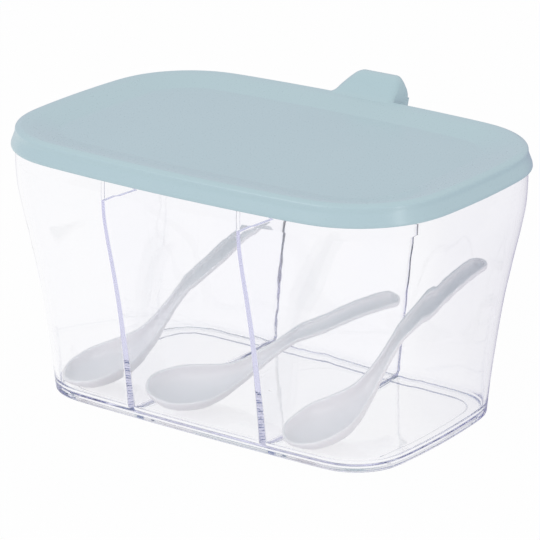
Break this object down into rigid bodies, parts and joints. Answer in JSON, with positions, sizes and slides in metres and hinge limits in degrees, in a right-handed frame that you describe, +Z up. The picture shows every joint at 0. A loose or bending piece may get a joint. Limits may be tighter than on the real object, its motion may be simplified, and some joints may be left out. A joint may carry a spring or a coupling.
{
  "type": "spice container",
  "caption": "Clear oblong spice box that flares towards its rim, divided into side-by-side compartments, with a hinged mint lid, a thumb tab and a loose scoop spoon in each compartment.",
  "frame": {"origin": "centre of the foot on which the box stands", "axes": "+X along the box's length, +Y from the front to the hinge at the back, +Z up"},
  "size_m": [0.2, 0.1457, 0.119],
  "materials": {
    "clear_plastic": "clear glossy moulded plastic with a faint violet tint at its edges",
    "mint_plastic": "pale blue-green moulded plastic, satin",
    "white_plastic": "white moulded plastic, softly glossy"
  },
  "bodies": {
    "container": {"container": "clear_plastic"},
    "lid": {"lid": "mint_plastic"},
    "spoon_left": {"spoon_left": "white_plastic"},
    "spoon_middle": {"spoon_middle": "white_plastic"},
    "spoon_right": {"spoon_right": "white_plastic"}
  },
  "joints": [
    {"name": "lid_hinge", "type": "hinge", "parent": "container", "child": "lid", "pos_m": [0, 0.071, 0.0996], "axis": [-1, 0, 0], "range_deg": [0, 105]},
    {"name": "spoon_left_lift", "type": "slide", "parent": "container", "child": "spoon_left", "axis": [0, 0, 1], "range_m": [0, 0.04]},
    {"name": "spoon_middle_lift", "type": "slide", "parent": "container", "child": "spoon_middle", "axis": [0, 0, 1], "range_m": [0, 0.045]},
    {"name": "spoon_right_lift", "type": "slide", "parent": "container", "child": "spoon_right", "axis": [0, 0, 1], "range_m": [0, 0.04]}
  ]
}
